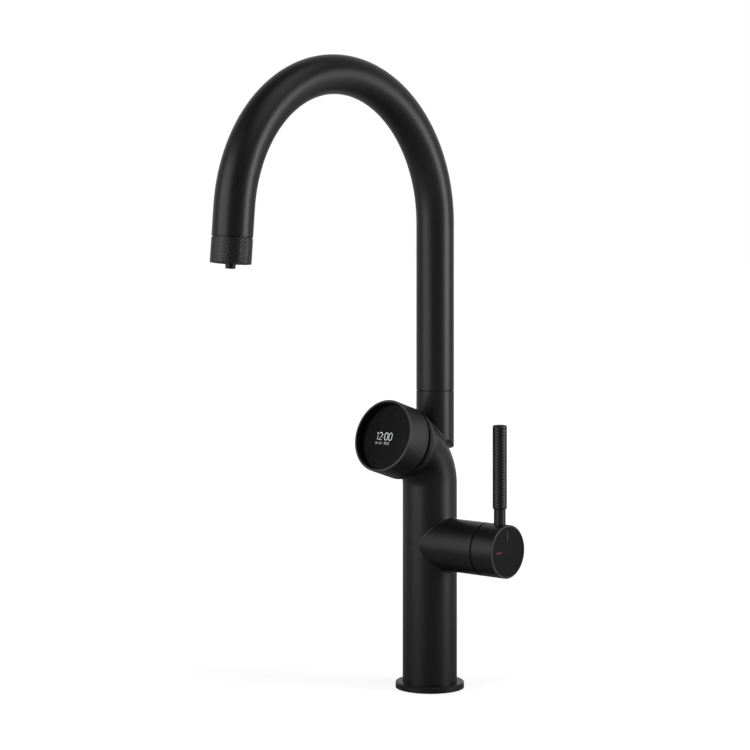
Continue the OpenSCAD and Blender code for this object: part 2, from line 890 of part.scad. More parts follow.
module aerator_screen() {
    hub = nozzle_r + run_gap + hub_wall;
    inner = hub + fit_gap;
    outer = aerator_r - aerator_wall - fit_gap;
    rows = 3;
    hole_r = 0.65;
    color(steel)
        on_tail(collar_start + collar_len - lip_h - 1.4)
            difference() {
                ring(outer, inner, 0.8);
                for (row = [0:rows - 1])
                    let (
                        at = inner + (outer - inner) * (row + 0.5) / rows,
                        count = round(2 * PI * at / (hole_r * 4))
                    )
                        for (i = [0:count - 1])
                            rotate([0, 0, 360 * (i + row / 2) / count])
                                translate([at, 0, -reach])
                                    cylinder(r = hole_r, h = 0.8 + 2 * reach, $fn = 16);
            }
}

module drinking_nozzle() {
    end = collar_start + collar_len + nozzle_out;
    bevel = 0.5;
    color(black)
        on_tail(0)
            difference() {
                union() {
                    translate([0, 0, nozzle_start]) cylinder(r = nozzle_r, h = end - bevel - nozzle_start);
                    translate([0, 0, end - bevel])
                        cylinder(r1 = nozzle_r, r2 = nozzle_r - bevel, h = bevel);
                }
                translate([0, 0, nozzle_start - reach])
                    cylinder(r = tube_seat_r, h = nozzle_socket + reach);
                translate([0, 0, nozzle_start])
                    cylinder(r = nozzle_r - 1.3, h = end - nozzle_start + reach);
            }
}

module moving_disc() {
    color(ceramic)
        on_branch(moving_disc_x)
            difference() {
                cylinder(r = disc_r, h = moving_disc_h);
                translate([0, 0, -reach])
                    rotate([0, 0, 100])
                        rotate_extrude(angle = 160)
                            translate([inlet_y - passage_r, 0])
                                square([2 * passage_r, reach + moving_disc_h / 2]);
            }
}

module cartridge_stem() {
    square_start = housing_shoulder + neck_len;
    color(brass)
        on_branch(0)
            difference() {
                union() {
                    translate([0, 0, driver_x]) cylinder(r = disc_r - 1.5, h = driver_h);
                    translate([0, 0, driver_x]) cylinder(r = stem_r, h = square_start + reach - driver_x);
                    translate([-stem_square / 2, -stem_square / 2, square_start])
                        cube([stem_square, stem_square, stem_end - square_start]);
                }
                translate([0, 0, stem_end - 9]) cylinder(r = handle_screw_r + fit_gap, h = 9 + reach);
            }
}

module handle_cap() {
    edge = 0.4;
    square_bore = stem_square + 2 * fit_gap;
    color(black)
        on_branch(0)
            difference() {
                union() {
                    difference() {
                        rotate_extrude()
                            polygon([
                                [0, cap_x], [branch_r - edge, cap_x], [branch_r, cap_x + edge],
                                [branch_r, face_x - edge], [branch_r - edge, face_x], [0, face_x]
                            ]);
                        translate([0, 0, cap_x - reach])
                            cylinder(r = cap_bore_r, h = cap_floor - cap_x + reach);
                        translate([0, 0, plate_x]) cylinder(r = plate_r, h = index_depth + reach);
                    }
                    translate([0, 0, hub_start]) cylinder(r = hub_r, h = cap_floor - hub_start + reach);
                }
                translate([-square_bore / 2, -square_bore / 2, hub_start - reach])
                    cube([square_bore, square_bore, stem_end - hub_start + reach + fit_gap]);
                cylinder(r = handle_screw_r + fit_gap, h = face_x);
                translate([0, 0, plate_x - handle_head_h - fit_gap])
                    cylinder(r = handle_head_r + fit_gap, h = face_x);
                translate([0, 0, lever_x])
                    rotate([0, -90, 0]) {
                        cylinder(r = stud_r + fit_gap, h = cap_bore_r);
                        translate([0, 0, neck_foot - fit_gap])
                            cylinder(r = neck_rod_r + fit_gap, h = branch_r);
                        translate([0, 0, cap_bore_r - reach])
                            cylinder(r = neck_rod_r - reach, h = 2 * reach);
                    }
            }
}

module handle_screw() {
    color(steel)
        on_branch(0)
            difference() {
                union() {
                    translate([0, 0, plate_x - handle_head_h])
                        cylinder(r = handle_head_r, h = handle_head_h - fit_gap);
                    translate([0, 0, plate_x - handle_head_h - handle_screw_len])
                        cylinder(r = handle_screw_r, h = handle_screw_len + reach);
                }
                translate([0, 0, plate_x - 1.8]) cylinder(r = 1.45, h = 3, $fn = 6);
            }
}

// Bar on the index plate with its centre at a radius, turned about the branch's axis
module mark_bar(at, turn, grow) {
    rotate([0, 0, turn])
        translate([-at - mark_len / 2 - grow, -mark_w / 2 - grow, 0])
            cube([mark_len + 2 * grow, mark_w + 2 * grow, mark_h + reach * (grow > 0 ? 1 : 0)]);
}

module index_plate() {
    color(black)
        on_branch(plate_x)
            difference() {
                cylinder(r = plate_r - fit_gap, h = plate_h);
                translate([0, 0, plate_h - mark_h]) {
                    mark_bar(cold_mark_r, 0, fit_gap / 2);
                    mark_bar(hot_mark_r, 90, fit_gap / 2);
                }
            }
}

module cold_mark() {
    color("royalblue") on_branch(plate_x + plate_h - mark_h) mark_bar(cold_mark_r, 0, 0);
}

module hot_mark() {
    color("red") on_branch(plate_x + plate_h - mark_h) mark_bar(hot_mark_r, 90, 0);
}

// Places a child on the lever's axis at a height above the branch's axis
module on_lever(h) {
    translate([lever_x, 0, branch_z + h]) children();
}

module lever_rod() {
    color(black)
        on_lever(0) {
            translate([0, 0, stud_foot]) cylinder(r = stud_r, h = neck_foot - stud_foot + reach);
            translate([0, 0, neck_foot]) cylinder(r = neck_rod_r, h = neck_top - neck_foot);
            translate([0, 0, neck_top - reach]) cylinder(r = core_r, h = core_top - neck_top + reach);
        }
}

module lever_grip() {
    color(black)
        on_lever(neck_top)
            difference() {
                union() {
                    cylinder(r1 = neck_rod_r, r2 = grip_r - knurl_depth, h = grip_rim);
                    translate([0, 0, grip_rim / 2])
                        knurl_bar(grip_r, knurl_depth, grip_knurls, knurl_h, grip_len - grip_rim);
                    translate([0, 0, grip_len - grip_rim])
                        cylinder(r = grip_r - knurl_depth / 2, h = grip_rim);
                }
                translate([0, 0, -reach]) cylinder(r = core_r + fit_gap, h = core_top - neck_top + reach + fit_gap);
            }
}

module knob_carrier() {
    color(grey_plastic)
        on_knob(0)
            difference() {
                rotate_extrude()
                    polygon([
                        [spigot_r + run_gap, -boss_start], [boss_r, -boss_start],
                        [boss_r, -carrier_face], [sleeve_r - 1.7, -carrier_face],
                        [sleeve_r - 1.7, -sleeve_start], [sleeve_r, -sleeve_start],
                        [sleeve_r, -mouth_depth], [carrier_r, -mouth_depth],
                        [carrier_r, -carrier_rear], [cup_r, -carrier_rear],
                        [cup_r, -cup_end], [0, -cup_end], [0, -cup_floor],
                        [spigot_r + run_gap, -cup_floor]
                    ]);
                translate([-key_w / 2 - fit_gap, 0, -spigot_end])
                    cube([key_w + 2 * fit_gap, spigot_r + key_h + fit_gap, spigot_end]);
                translate([0, -board_screw_ring, -cup_end]) cylinder(r = 3.5, h = cup_end);
                for (i = [0:2])
                    rotate([0, 0, 30 + 120 * i])
                        translate([board_screw_ring, 0, -carrier_rear - reach])
                            cylinder(r = board_screw_r + fit_gap, h = cup_end);
            }
}

module encoder_board() {
    color(board_green)
        on_knob(carrier_face)
            difference() {
                ring(board_r, board_bore_r, board_h);
                for (i = [0:2])
                    rotate([0, 0, 30 + 120 * i])
                        translate([board_screw_ring, 0, -reach])
                            cylinder(r = board_screw_r + fit_gap, h = board_h + 2 * reach);
            }
}

module board_screws() {
    color(steel)
        for (i = [0:2])
            on_knob(board_front)
                rotate([0, 0, 30 + 120 * i])
                    translate([board_screw_ring, 0, 0])
                        difference() {
                            union() {
                                cylinder(r = board_head_r, h = board_head_h);
                                translate([0, 0, -4]) cylinder(r = board_screw_r, h = 4 + board_head_h / 2);
                            }
                            translate([-board_head_r, -0.3, board_head_h - 0.6])
                                cube([2 * board_head_r, 0.6, 1]);
                        }
}

module cable_socket() {
    socket = [8, 4, 3];
    color(white_plastic)
        on_knob(board_front)
            translate([-socket[0] / 2, board_screw_ring - socket[1] / 2, 0])
                difference() {
                    cube(socket);
                    translate([0.8, 0.8, 1]) cube([socket[0] - 1.6, socket[1] - 1.6, socket[2]]);
                }
}

module press_switch() {
    color(grey_plastic)
        on_knob(cup_floor)
            difference() {
                translate([-switch_w / 2, -switch_w / 2, 0]) cube([switch_w, switch_w, switch_h]);
                translate([0, 0, switch_h - press_travel - 0.6]) cylinder(r = 1.9, h = press_travel + 0.6 + reach);
            }
}

module switch_button() {
    color(rubber)
        on_knob(spigot_end + 1.3)
            cylinder(r = 1.7, h = 1.3 - face_gap / 2);
}

// Points of the spring's wire, wound between the carrier and the display carrier
module return_spring() {
    per_turn = 14;
    sides = 6;
    foot = -carrier_face + spring_wire / 2 + face_gap;
    rise = carrier_face - spring_top - spring_wire - 2 * face_gap;
    steps = spring_turns * per_turn;
    color(steel)
        on_knob(0)
            skin([
                for (i = [0:steps])
                    let (
                        a = 360 * i / per_turn,
                        c = [spring_r * cos(a), spring_r * sin(a), foot + rise * i / steps]
                    )
                        circle_at(c, [0, 0, 1], [cos(a), sin(a), 0], spring_wire / 2, sides)
            ]);
}

module display_carrier() {
    color(grey_plastic)
        on_knob(0)
            difference() {
                union() {
                    rotate_extrude()
                        polygon([
                            [0, -spigot_end], [spigot_r, -spigot_end], [spigot_r, -spring_top],
                            [display_cavity_r, -spring_top], [display_cavity_r, -plunger_end],
                            [plunger_r, -plunger_end], [plunger_r, -flange_rear],
                            [recess_r - loose_gap - fit_gap, -flange_rear],
                            [recess_r - loose_gap - fit_gap, -flange_seat],
                            [display_cavity_r, -flange_seat], [display_cavity_r, -display_floor],
                            [0, -display_floor]
                        ]);
                    translate([-key_w / 2, 0, -spigot_end + 1])
                        cube([key_w, spigot_r + key_h, spigot_end - boss_start - 2]);
                }
                translate([0, 0, -retainer_start - retainer_h - face_gap / 2])
                    ring(plunger_r + reach, plunger_r - 0.5, retainer_h + face_gap);
                translate([-5, board_screw_ring - 3, -plunger_end]) cube([10, 2, plunger_end - flange_seat]);
            }
}

module display_module() {
    side = display_cavity_r * 1.38;
    color(dark_glass)
        on_knob(flange_seat + 3.4)
            translate([-side / 2, -side / 2, 0])
                cube([side, side, 3.3]);
}

module display_glass() {
    color(dark_glass)
        on_knob(flange_seat)
            cylinder(r = recess_r - loose_gap, h = glass_h);
}

module knob_bearing() {
    color(white_plastic)
        on_knob(retainer_start - face_gap / 2)
            ring(land_r - run_gap, plunger_r + fit_gap / 2, retainer_start - flange_rear - face_gap);
}

module knob_retainer() {
    gap_w = 3;
    color(steel)
        on_knob(retainer_start + retainer_h)
            difference() {
                ring(skirt_r - loose_gap, plunger_r - 0.45, retainer_h);
                translate([-gap_w / 2, 0, -reach]) cube([gap_w, skirt_r, retainer_h + 2 * reach]);
            }
}

module knob_ring() {
    edge = 0.35;
    color(black)
        on_knob(0)
            rotate_extrude()
                polygon([
                    [knob_r - edge, -knob_len], [knob_r, -knob_len + edge], [knob_r, -edge],
                    [knob_r - edge, 0], [recess_r + edge / 2, 0], [recess_r, -edge / 2],
                    [recess_r, -land_start], [land_r, -land_start], [land_r, -land_end],
                    [skirt_r, -land_end], [skirt_r, -knob_len]
                ]);
}

module magnet_ring() {
    color(rubber)
        on_knob(magnet_start + magnet_h)
            ring(skirt_r - fit_gap / 2, skirt_r - 1.6, magnet_h);
}

base_flange();
base_gasket();
base_insert();
column_screw();
column_body();
valve_body();
port_seals();
fixed_disc();
cartridge_housing();
cartridge_nut();
cap_glide_ring();
mixed_water_tube();
filtered_water_tube();
filtered_inlet();
spout_socket();
swivel_washer();
spout_stop_screw();
spout_nipple();
nipple_seals();
nipple_glide_rings();
spout_tube();
inner_water_tube();
outlet_adapter();
aerator_collar();
aerator_gasket();
aerator_insert();
aerator_screen();
drinking_nozzle();
moving_disc();
cartridge_stem();
handle_cap();
handle_screw();
index_plate();
cold_mark();
hot_mark();
lever_rod();
lever_grip();
knob_carrier();
encoder_board();
board_screws();
cable_socket();
press_switch();
return_spring();
display_carrier();
switch_button();
display_module();
display_glass();
knob_bearing();
knob_retainer();
knob_ring();
magnet_ring();
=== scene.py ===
import math
from collections import namedtuple

import bmesh
import bpy
import numpy as np
from mathutils import Matrix, Vector


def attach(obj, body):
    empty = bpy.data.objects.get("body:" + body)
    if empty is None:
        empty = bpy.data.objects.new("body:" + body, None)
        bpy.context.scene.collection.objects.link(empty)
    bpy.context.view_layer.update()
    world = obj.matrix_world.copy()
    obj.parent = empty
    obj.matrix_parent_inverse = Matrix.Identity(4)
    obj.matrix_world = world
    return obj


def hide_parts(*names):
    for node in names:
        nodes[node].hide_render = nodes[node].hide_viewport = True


MM = 0.001

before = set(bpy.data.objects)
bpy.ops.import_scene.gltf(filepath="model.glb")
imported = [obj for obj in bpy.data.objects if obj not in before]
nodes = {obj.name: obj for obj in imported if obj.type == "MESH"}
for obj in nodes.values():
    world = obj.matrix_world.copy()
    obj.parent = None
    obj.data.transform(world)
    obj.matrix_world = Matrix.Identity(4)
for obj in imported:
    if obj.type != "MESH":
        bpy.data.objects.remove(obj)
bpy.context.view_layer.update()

# Column, elbow, stub and branch in millimetres, as the CAD part has them
column_r = 23.0
spout_r = 16.0
branch_r = 22.0
mouth_r = 30.5
branch_wall = 3.0
mouth_wall = 3.5
flange_h = 5.0
spout_y = column_r - spout_r
tube_foot = 251.6
branch_z = 122.5
branch_len = 61.4
bend_r = 36.0
knob_cross_z = 198.0
knob_tilt = math.radians(17.5)
knob_reach = 62.9
stub_cut_z = knob_cross_z + 10.4
stub_cut_tilt = math.radians(27)

# Run along the elbow's centre line, from the bend's start, where it begins to widen
widen_start = 37.0

# Gap of the swivel seam and width of the rim beside its washer, narrower than in the CAD
seam_gap = 0.6
seam_rim = 1.8
stub_top = tube_foot - seam_gap

# Knob ring by radius and depth behind its front, with the thicker front rim that the photo shows
ring_len = 23.2
recess_r = mouth_r - 1.3
lip_r = mouth_r - 1.9
lip_depth = 1.4
land_r = mouth_r - 3.0
skirt_r = mouth_r - 2.0
land_start = 9.3
land_end = 14.7
glass_depth = 6.0

# Gap behind the ring, and the straight lip of the casting's mouth
mouth_gap = 2.1
mouth_depth = ring_len + mouth_gap
lip_len = 2.0

# Arch of the spout and the knurled collar at its end
arch_r = 119.0
arch_z = 393.0
arch_turn = math.radians(175)
collar_start = 23.4
collar_r = spout_r
collar_bore_r = 13.6
collar_len = 19.9

# Handle: front of its cap, and the knurled grip on its neck
cap_face = branch_len + 23.0
lever_x = cap_face - 8.8
neck_r = 4.9
grip_foot = branch_z + 34.2
grip_r = 6.0
grip_len = 69.3
grip_rim = 1.2

# Fillets in the creases of the casting, and the rounding of its edge and rims
stub_fillet = 2.6
branch_fillet = 1.8
stub_foot_round = 0.6
rim_round = 0.4
mouth_round = 1.0

# How far the painted highlights on the front edges of the knob's ring and of the handle's cap reach back
# from the front
ring_highlight_depth = 1.0
cap_highlight_depth = 0.45

# Camera, as fitted to the photo: lengths in millimetres, the rest in pixels of the picture
camera_azimuth = math.radians(41.94)
camera_distance = 1746.83
camera_aside = 46.44
camera_height = 374.64
focal_px = 2060.88
image_px = 750
horizon_px = 244.6

# Light of the floor near the tap, where 1 is white, and of the far floor in reflections
floor_near = 0.79
floor_mirrored = 0.35

# Light of the room in reflections: dim before the tap, pale low behind it
room_dim = 0.07
room_pale = 0.8
room_lean = 0.45

X, Y, Z = np.eye(3)
knob_out = np.array([0, -math.cos(knob_tilt), math.sin(knob_tilt)])
knob_up = np.array([0, math.sin(knob_tilt), math.cos(knob_tilt)])
bend_turn = math.pi / 2 - knob_tilt
bend_z = knob_cross_z - bend_r * math.tan(bend_turn / 2)
bend_len = bend_r * bend_turn


def knob_point(x, up, depth):
    """A point by its place on the knob's face and its depth behind the front rim."""
    return np.array([0, 0, knob_cross_z]) + knob_out * (knob_reach - depth) + X * x + knob_up * up


# An axis to turn a piece about: where it starts, its direction, and two directions square to it
Axis = namedtuple("Axis", "origin along u v")
knob_axis = Axis(knob_point(0, 0, 0), knob_out, X, knob_up)


# Shader nodes
def material(name):
    made = bpy.data.materials.new(name)
    made.use_nodes = True
    tree = made.node_tree
    return made, tree, tree.nodes["Principled BSDF"]


def coordinates(tree):
    return tree.nodes.new("ShaderNodeTexCoord").outputs["Object"]


def noise(tree, vector, scale, detail=3.0):
    node = tree.nodes.new("ShaderNodeTexNoise")
    node.inputs["Scale"].default_value = scale
    node.inputs["Detail"].default_value = detail
    tree.links.new(vector, node.inputs["Vector"])
    return node.outputs["Fac"]


def mapped(tree, value, source, target, smooth=False):
    """A value carried from one range to another."""
    node = tree.nodes.new("ShaderNodeMapRange")
    if smooth:
        node.interpolation_type = "SMOOTHSTEP"
    node.inputs["From Min"].default_value = source[0]
    node.inputs["From Max"].default_value = source[1]
    node.inputs["To Min"].default_value = target[0]
    node.inputs["To Max"].default_value = target[1]
    tree.links.new(value, node.inputs["Value"])
    return node.outputs["Result"]


def maths(tree, operation, *values):
    """A sum on numbers and sockets."""
    node = tree.nodes.new("ShaderNodeMath")
    node.operation = operation
    for socket, value in zip(node.inputs, values):
        if isinstance(value, (int, float)):
            socket.default_value = value
        else:
            tree.links.new(value, socket)
    return node.outputs[0]


def place_parts(tree, vector):
    """The X, Y and Z of a vector socket."""
    node = tree.nodes.new("ShaderNodeSeparateXYZ")
    tree.links.new(vector, node.inputs["Vector"])
    return node.outputs


def blend(tree, share, first, second):
    """A colour between two, each of them a colour or a socket."""
    node = tree.nodes.new("ShaderNodeMix")
    node.data_type = "RGBA"
    tree.links.new(share, node.inputs["Factor"])
    for socket, colour in ((node.inputs["A"], first), (node.inputs["B"], second)):
        if isinstance(colour, tuple):
            socket.default_value = (*colour, 1)
        else:
            tree.links.new(colour, socket)
    return node.outputs["Result"]


def bump(tree, height, distance):
    node = tree.nodes.new("ShaderNodeBump")
    node.inputs["Distance"].default_value = distance
    tree.links.new(height, node.inputs["Height"])
    return node.outputs["Normal"]


# Finishes
def grey(value):
    """A very slightly cool grey."""
    return (value, value, value * 1.03)


def finish(name, dark, light, rough, grain, metallic=0.0, specular=0.5, depth=0.01 * MM):
    """A finish with small changes of colour and gloss and a fine grain."""
    made, tree, shader = material(name)
    at = coordinates(tree)
    coarser = 12
    middle = (0.3, 0.7)
    fine = noise(tree, at, grain)
    broad = noise(tree, at, grain / coarser, 2)
    tree.links.new(blend(tree, broad, dark, light), shader.inputs["Base Color"])
    tree.links.new(mapped(tree, fine, middle, rough), shader.inputs["Roughness"])
    tree.links.new(bump(tree, fine, depth), shader.inputs["Normal"])
    shader.inputs["Metallic"].default_value = metallic
    shader.inputs["Specular IOR Level"].default_value = specular
    return made


def painted_rim_highlight(made, start):
    """Paints a highlight on a finish: paler where it lies past a distance along X, on the cap's front rim.
    """
    tree = made.node_tree
    base = tree.nodes["Principled BSDF"].inputs["Base Color"]
    place = place_parts(tree, tree.nodes.new("ShaderNodeNewGeometry").outputs["Position"])
    past = maths(tree, "GREATER_THAN", place["X"], start * MM)
    # The paler grey is a painted highlight on the cap's rim
    tree.links.new(blend(tree, past, base.links[0].from_socket, grey(0.04)), base)
    return made


def micro_knurl(made, around=150, rows_per_mm=0.8, depth=0.1):
    """Gives a finish a fine diamond knurl about the knob's axis in place of its grain."""
    tree = made.node_tree
    upright = tree.nodes.new("ShaderNodeVectorRotate")
    upright.rotation_type = "X_AXIS"
    upright.inputs["Center"].default_value = (0, 0, knob_cross_z * MM)
    upright.inputs["Angle"].default_value = knob_tilt
    tree.links.new(coordinates(tree), upright.inputs["Vector"])
    place = place_parts(tree, upright.outputs["Vector"])
    height = maths(tree, "SUBTRACT", place["Z"], knob_cross_z * MM)
    turn = maths(tree, "MULTIPLY", maths(tree, "ARCTAN2", height, place["X"]), around)
    along = maths(tree, "MULTIPLY", place["Y"], 2 * math.pi * rows_per_mm / MM)

    def grooves(operation):
        """Grooves that run around the knob in a spiral, one way or the other."""
        phase = maths(tree, "MULTIPLY", maths(tree, operation, turn, along), 0.5)
        return maths(tree, "ABSOLUTE", maths(tree, "SINE", phase))

    crossed = maths(tree, "MINIMUM", grooves("ADD"), grooves("SUBTRACT"))
    normal = tree.nodes["Principled BSDF"].inputs["Normal"]
    tree.links.new(bump(tree, crossed, depth * MM), normal)
    return made


def slot_of(made):
    """The slot that a material is for, since Blender adds a dot and a number to a name that is taken."""
    return made.name.split(".")[0]


matte = (grey(0.0045), grey(0.006), (0.36, 0.42), 1800)
slot_finishes = [
    finish("matte_black", *matte, specular=0.3),
    finish("knurled_black", grey(0.004), grey(0.006), (0.3, 0.36), 1800, specular=0.34),
    finish("nozzle_black", grey(0.006), grey(0.008), (0.36, 0.42), 1500, specular=0.3),
    finish("display_glass", grey(0.002), grey(0.003), (0.14, 0.18), 300, specular=0.25, depth=0.001 * MM),
    finish("display", grey(0.01), grey(0.012), (0.3, 0.35), 900),
    finish("brass", (0.72, 0.52, 0.22), (0.8, 0.6, 0.28), (0.22, 0.34), 1200, metallic=1.0),
    finish("copper", (0.7, 0.36, 0.22), (0.78, 0.42, 0.28), (0.25, 0.38), 1200, metallic=1.0),
    finish("steel", (0.56, 0.56, 0.58), (0.64, 0.64, 0.66), (0.22, 0.34), 1600, metallic=1.0),
    finish("spring_steel", (0.42, 0.42, 0.44), (0.5, 0.5, 0.52), (0.25, 0.35), 1600, metallic=1.0),
    finish("rubber", grey(0.01), grey(0.014), (0.6, 0.75), 1500, specular=0.3),
    finish("glide_plastic", grey(0.006), grey(0.009), (0.5, 0.6), 1500, specular=0.3),
    finish("white_plastic", (0.78, 0.78, 0.76), (0.84, 0.84, 0.82), (0.4, 0.5), 1200),
    finish("grey_plastic", (0.10, 0.105, 0.11), (0.13, 0.135, 0.14), (0.45, 0.55), 1200),
    finish("ceramic", (0.83, 0.8, 0.74), (0.87, 0.84, 0.78), (0.12, 0.2), 1200),
    finish("circuit_board", (0.02, 0.14, 0.07), (0.03, 0.18, 0.09), (0.3, 0.4), 1200),
    finish("blue_enamel", (0.02, 0.035, 0.11), (0.03, 0.045, 0.14), (0.4, 0.5), 1500, specular=0.2),
    finish("red_enamel", (0.20, 0.02, 0.012), (0.25, 0.03, 0.018), (0.4, 0.5), 1500, specular=0.2),
]
finishes = {slot_of(made): made for made in slot_finishes}
index_black = finish("index_black", grey(0.004), grey(0.006), (0.5, 0.6), 1500, specular=0.1)
# Paler black that paints a highlight on the knob ring's front rim
rim_painted_highlight = finish("rim_painted_highlight", grey(0.026), grey(0.034), (0.4, 0.48), 1800, specular=0.4)
# The cap's black carries a painted highlight on its front rim
cap_black = painted_rim_highlight(finish("cap_black", *matte, specular=0.3), cap_face - cap_highlight_depth)
ring_black = micro_knurl(finish("ring_black", grey(0.005), grey(0.007), (0.36, 0.42), 1800, specular=0.32))


def dress_frame():
    """Gives every CAD node the finish of its material slot; plate and cap have blacks of their own."""
    for node in nodes.values():
        slot = slot_of(node.data.materials[0])
        node.data.materials.clear()
        node.data.materials.append(finishes[slot])
    nodes["index_plate"].data.materials[0] = index_black
    nodes["handle_cap"].data.materials[0] = cap_black


# Meshes
def mesh_object(name, points, faces, slot, body, normals=None):
    """A piece from points in millimetres; its shading normals may be given by vertex."""
    mesh = bpy.data.meshes.new(name)
    mesh.from_pydata([tuple(p * MM) for p in np.asarray(points, float)], [], faces)
    mesh.shade_smooth()
    if normals is not None:
        mesh.normals_split_custom_set_from_vertices([tuple(n) for n in normals])
    made = bpy.data.objects.new(name, mesh)
    bpy.context.collection.objects.link(made)
    mesh.materials.append(finishes[slot])
    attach(made, body)
    return made


def evaluated_mesh(thing):
    """The mesh of an object with its modifiers applied; the object itself goes."""
    bpy.context.view_layer.update()
    graph = bpy.context.evaluated_depsgraph_get()
    mesh = bpy.data.meshes.new_from_object(thing.evaluated_get(graph))
    bpy.data.objects.remove(thing)
    return mesh


def vertex_places(mesh):
    places = np.empty(len(mesh.vertices) * 3)
    mesh.vertices.foreach_get("co", places)
    return places.reshape(-1, 3)


def directions(u, v, count):
    """Directions all round, in the plane of u and v."""
    angles = np.arange(count) * 2 * math.pi / count
    return np.cos(angles)[:, None] * u + np.sin(angles)[:, None] * v


def loft(rings, capped=False):
    """Points and faces of a skin through rings with the same count."""
    count = len(rings[0])
    faces = []
    for i in range(len(rings) - 1):
        low = i * count
        high = low + count
        for j in range(count):
            after = (j + 1) % count
            faces.append((low + j, low + after, high + after, high + j))
    if capped:
        faces.append(tuple(range(count))[::-1])
        faces.append(tuple((len(rings) - 1) * count + j for j in range(count)))
    return np.concatenate(rings), faces


def merged(skins):
    """Points and faces of several skins as one."""
    points, faces = [], []
    start = 0
    for skin_points, skin_faces in skins:
        points.append(skin_points)
        faces += [tuple(i + start for i in face) for face in skin_faces]
        start += len(skin_points)
    return np.concatenate(points), faces


def unit(v):
    return v / np.maximum(np.linalg.norm(v, axis=-1, keepdims=True), 1e-9)


# Fields of the casting: each gives the distance to a surface, less than 0 inside
bend_end = np.array([0, bend_r * (math.cos(bend_turn) - 1), bend_z + bend_r * math.sin(bend_turn)])
mouth_at = (knob_point(0, 0, mouth_depth) - bend_end) @ knob_out
widen_end = bend_len + mouth_at - lip_len


def elbow_radius(run):
    """Radius of the elbow, which widens smoothly to the mouth, by the run along its centre line."""
    share = np.clip((run - widen_start) / (widen_end - widen_start), 0, 1)
    return column_r + (mouth_r - column_r) * share**2 * (3 - 2 * share)


def elbow_field(p):
    """Distance to the column and the elbow above it, from the run along their centre line."""
    y, z = p[:, 1] + bend_r, p[:, 2] - bend_z
    from_end = p - bend_end
    along = from_end @ knob_out
    straight = (along >= 0) & (z > -bend_r / 2)
    upright = z <= 0
    from_column = np.hypot(p[:, 0], p[:, 1])
    from_bend = np.hypot(p[:, 0], np.hypot(y, z) - bend_r)
    from_straight = np.linalg.norm(from_end - along[:, None] * knob_out, axis=1)
    away = np.where(straight, from_straight, np.where(upright, from_column, from_bend))
    run = np.where(straight, bend_len + along, np.where(upright, z, bend_r * np.arctan2(z, y)))
    step = 0.01
    slope = (elbow_radius(run + step) - elbow_radius(run - step)) / (2 * step)
    return (away - elbow_radius(run)) / np.hypot(1, slope)


def stub_side(p):
    return np.hypot(p[:, 0], p[:, 1] - spout_y) - spout_r


def stub_foot(p):
    """Distance below the slanted plane that cuts the stub's foot off."""
    below = (stub_cut_z - p[:, 2]) * math.cos(stub_cut_tilt)
    return below - (p[:, 1] - spout_y) * math.sin(stub_cut_tilt)


def branch_field(p):
    return np.maximum(np.hypot(p[:, 1], p[:, 2] - branch_z) - branch_r, -p[:, 0])


def gradient(field, p, step=0.01):
    return unit(np.stack([field(p + e) - field(p - e) for e in np.eye(3) * step], axis=1))


def joined(first, second, radius):
    """Union of two fields with a fillet, which has its full radius where they meet at a right angle."""
    smallest, largest = 0.001, 1.6
    near = 3 * radius

    def field(p):
        a, b = first(p), second(p)
        distance = np.minimum(a, b)
        close = (np.abs(a) < near) & (np.abs(b) < near)
        if close.any():
            q, a, b = p[close], a[close], b[close]
            cosine = np.sum(gradient(first, q) * gradient(second, q), axis=1)
            half = np.sqrt(np.clip((1 + cosine) / 2, 0.05, 1))
            size = radius * np.clip((1 / half - 1) / (math.sqrt(2) - 1), smallest, largest)
            u, v = np.maximum(size - a, 0), np.maximum(size - b, 0)
            distance[close] = np.where((u > 0) & (v > 0), size - np.hypot(u, v), np.minimum(a, b))
        return distance

    return field


def trimmed(first, second, radius):
    """Intersection of two fields with its edge rounded."""
    outside = joined(lambda p: -first(p), lambda p: -second(p), radius)
    return lambda p: -outside(p)


stub_field = trimmed(stub_side, stub_foot, stub_foot_round)
casting_field = joined(joined(elbow_field, stub_field, stub_fillet), branch_field, branch_fillet)

# Rims of the casting: centre, direction outwards, two directions square to it, radii and rounding
Rim = namedtuple("Rim", "at out u v r inner_r bevel")
rims = [
    Rim(np.array([0, spout_y, stub_top]), Z, X, Y, spout_r, spout_r - seam_rim, rim_round),
    Rim(np.array([branch_len, 0, branch_z]), X, Y, Z, branch_r, branch_r - branch_wall, rim_round),
    Rim(knob_point(0, 0, mouth_depth), knob_out, X, knob_up, mouth_r, mouth_r - mouth_wall, mouth_round),
]


# Casting
def casting_blank(extra=12.0, steps=16, count=64):
    """Overlapping closed tubes that are a little longer than the casting's limbs."""
    inside = 1.0
    round_column = directions(X, Y, count)
    column = [Z * -extra / 2 + round_column * column_r]
    for i in range(steps + 1):
        turn = bend_turn * i / steps
        out = np.array([0, math.cos(turn), math.sin(turn)])
        centre = np.array([0, -bend_r, bend_z]) + out * bend_r
        column.append(centre + directions(X, out, count) * elbow_radius(bend_r * turn))
    for along in (mouth_at / 3, mouth_at * 2 / 3, mouth_at, mouth_at + extra):
        centre = bend_end + knob_out * along
        column.append(centre + directions(X, knob_up, count) * elbow_radius(bend_len + along))
    stub = [
        np.array([0, spout_y, z]) + round_column * spout_r
        for z in (stub_cut_z, stub_top + extra)
    ]
    stub[0][:, 2] -= (stub[0][:, 1] - spout_y) * math.tan(stub_cut_tilt)
    branch = [
        np.array([x, 0, branch_z]) + directions(Y, Z, count) * branch_r
        for x in (inside, branch_len + extra)
    ]
    return merged([loft(limb, capped=True) for limb in (column, stub, branch)])


